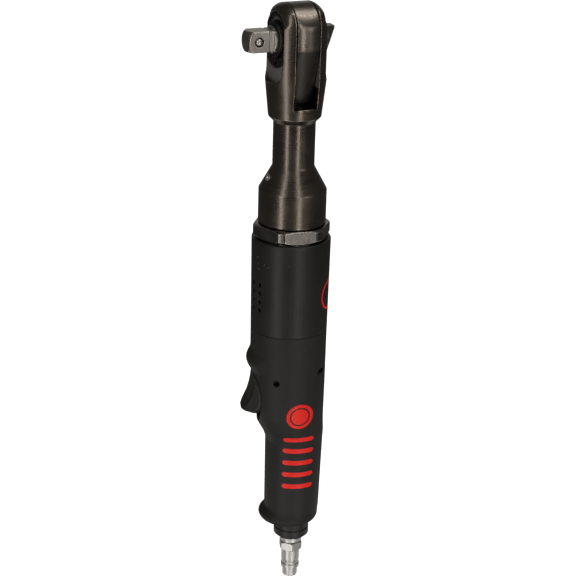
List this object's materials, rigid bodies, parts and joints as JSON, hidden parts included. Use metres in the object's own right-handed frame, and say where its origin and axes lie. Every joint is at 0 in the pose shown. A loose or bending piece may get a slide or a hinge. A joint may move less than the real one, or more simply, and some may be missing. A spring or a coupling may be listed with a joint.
{
  "type": "air ratchet",
  "caption": "Half-inch drive air ratchet: steel fork head with a square drive on a slim neck, hex clamp ring, composite motor sleeve and grip with trigger, and an air inlet nipple",
  "frame": {"origin": "centre of the outer end face of the drive square", "axes": "the drive square points along -Y, +Z runs along the tool from the air inlet to the head, +X completes the right-handed frame"},
  "size_m": [0.05, 0.0585, 0.3906],
  "materials": {
    "bronze_steel": "dark bronze-black satin steel with fine lengthwise brushing",
    "drive_steel": "mid grey satin steel, worn at the corners",
    "nut_steel": "dark steel rubbed bright on its edges",
    "bright_steel": "bright polished steel",
    "gear_steel": "ground grey steel",
    "spring_steel": "bright spring wire",
    "aluminium": "machined",
    "brass": "machined brass",
    "zinc_steel": "light zinc plate",
    "grip_plastic": null,
    "vane_fibre": "reinforced phenolic",
    "seal_rubber": "matte"
  },
  "bodies": {
    "housing": {"head_housing": "bronze_steel", "clamp_nut": "nut_steel", "grease_fitting": "bright_steel", "retaining_ring": "spring_steel", "thrust_washer": "gear_steel", "crank_bearing_front": "bright_steel", "crank_bearing_rear": "bright_steel", "ring_gear": "gear_steel", "motor_cylinder": "gear_steel", "front_end_plate": "gear_steel", "rear_end_plate": "gear_steel", "front_rotor_bearing": "bright_steel", "rear_rotor_bearing": "bright_steel", "motor_housing": "nut_steel", "motor_sleeve": "grip_plastic", "handle_grip": "grip_plastic", "valve_body": "aluminium", "valve_seat": "brass", "valve_plug": "brass", "throttle_spring": "spring_steel", "trigger_pin": "spring_steel", "locating_pin": "spring_steel", "inlet_bushing": "nut_steel", "inlet_screen": "brass", "inlet_seal": "seal_rubber", "air_nipple": "zinc_steel"},
    "yoke": {"ratchet_yoke": "bronze_steel"},
    "anvil": {"drive_anvil": "drive_steel", "detent_spring": "spring_steel", "pawl_spring_upper": "spring_steel", "pawl_spring_lower": "spring_steel"},
    "upper_pawl": {"pawl_upper": "gear_steel"},
    "lower_pawl": {"pawl_lower": "gear_steel"},
    "lever": {"reversing_lever": "drive_steel"},
    "ball": {"detent_ball": "bright_steel"},
    "rotor": {"motor_rotor": "gear_steel", "vane_1": "vane_fibre", "vane_2": "vane_fibre", "vane_3": "vane_fibre", "vane_4": "vane_fibre", "vane_5": "vane_fibre"},
    "crank": {"crankshaft": "gear_steel", "planet_pin_1": "bright_steel", "planet_pin_2": "bright_steel", "planet_pin_3": "bright_steel"},
    "planet_1": {"planet_gear_1": "gear_steel"},
    "planet_2": {"planet_gear_2": "gear_steel"},
    "planet_3": {"planet_gear_3": "gear_steel"},
    "bushing": {"drive_bushing": "brass"},
    "trigger": {"trigger": "grip_plastic"},
    "plunger": {"throttle_plunger": "bright_steel"},
    "deflector": {"exhaust_deflector": "grip_plastic"}
  },
  "joints": [
    {"name": "trigger_pull", "type": "hinge", "parent": "housing", "child": "trigger", "pos_m": [-0.00296, 0.0249, -0.2175], "axis": [0.9455, -0.3256, 0], "range_deg": [0, 8], "stiffness_Nm_per_rad": 0.6, "springref_deg": -20.05},
    {"name": "plunger_slide", "type": "slide", "parent": "housing", "child": "plunger", "axis": [0.3256, 0.9455, 0], "range_m": [0, 0.0026], "deforming": ["throttle_spring"]},
    {"name": "deflector_swivel", "type": "hinge", "parent": "housing", "child": "deflector", "pos_m": [0.00176, 0.03861, -0.333], "axis": [0, 0, 1], "continuous": true},
    {"name": "yoke_swing", "type": "hinge", "parent": "housing", "child": "yoke", "pos_m": [0, 0.0335, 0], "axis": [0, 1, 0], "range_deg": [-2.7, 2.7]},
    {"name": "anvil_spin", "type": "hinge", "parent": "housing", "child": "anvil", "pos_m": [0, 0.0335, 0], "axis": [0, 1, 0], "continuous": true},
    {"name": "upper_pawl_rock", "type": "hinge", "parent": "anvil", "child": "upper_pawl", "pos_m": [0, 0.0335, 0.008], "axis": [0, 1, 0], "range_deg": [-4, 4]},
    {"name": "lower_pawl_rock", "type": "hinge", "parent": "anvil", "child": "lower_pawl", "pos_m": [0, 0.0335, -0.008], "axis": [0, 1, 0], "range_deg": [-4, 4]},
    {"name": "lever_turn", "type": "hinge", "parent": "anvil", "child": "lever", "pos_m": [0, 0.0335, 0], "axis": [0, 1, 0], "range_deg": [0, 60]},
    {"name": "ball_press", "type": "slide", "parent": "anvil", "child": "ball", "axis": [-1, 0, 0], "range_m": [0, 0.0008], "stiffness_N_per_m": 2000, "springref_m": -0.001, "deforming": ["detent_spring"]},
    {"name": "rotor_spin", "type": "hinge", "parent": "housing", "child": "rotor", "pos_m": [0, 0.0335, -0.16], "axis": [0, 0, 1], "continuous": true},
    {"name": "crank_spin", "type": "hinge", "parent": "housing", "child": "crank", "pos_m": [0, 0.0335, -0.08], "axis": [0, 0, 1], "continuous": true},
    {"name": "planet_1_spin", "type": "hinge", "parent": "crank", "child": "planet_1", "pos_m": [0.0096, 0.0335, -0.113], "axis": [0, 0, 1], "continuous": true},
    {"name": "planet_2_spin", "type": "hinge", "parent": "crank", "child": "planet_2", "pos_m": [-0.0048, 0.04181, -0.113], "axis": [0, 0, 1], "continuous": true},
    {"name": "planet_3_spin", "type": "hinge", "parent": "crank", "child": "planet_3", "pos_m": [-0.0048, 0.02519, -0.113], "axis": [0, 0, 1], "continuous": true},
    {"name": "bushing_spin", "type": "hinge", "parent": "crank", "child": "bushing", "pos_m": [0, 0.0317, -0.038], "axis": [0, 0, 1], "continuous": true}
  ],
  "couplings": [
    {"joint": "plunger_slide", "follows": "trigger_pull", "m_per_rad": 0.0185},
    {"joint": "crank_spin", "follows": "rotor_spin", "ratio": 0.25},
    {"joint": "planet_1_spin", "follows": "rotor_spin", "ratio": -0.75},
    {"joint": "planet_2_spin", "follows": "rotor_spin", "ratio": -0.75},
    {"joint": "planet_3_spin", "follows": "rotor_spin", "ratio": -0.75},
    {"joint": "bushing_spin", "follows": "rotor_spin", "ratio": -0.25}
  ]
}
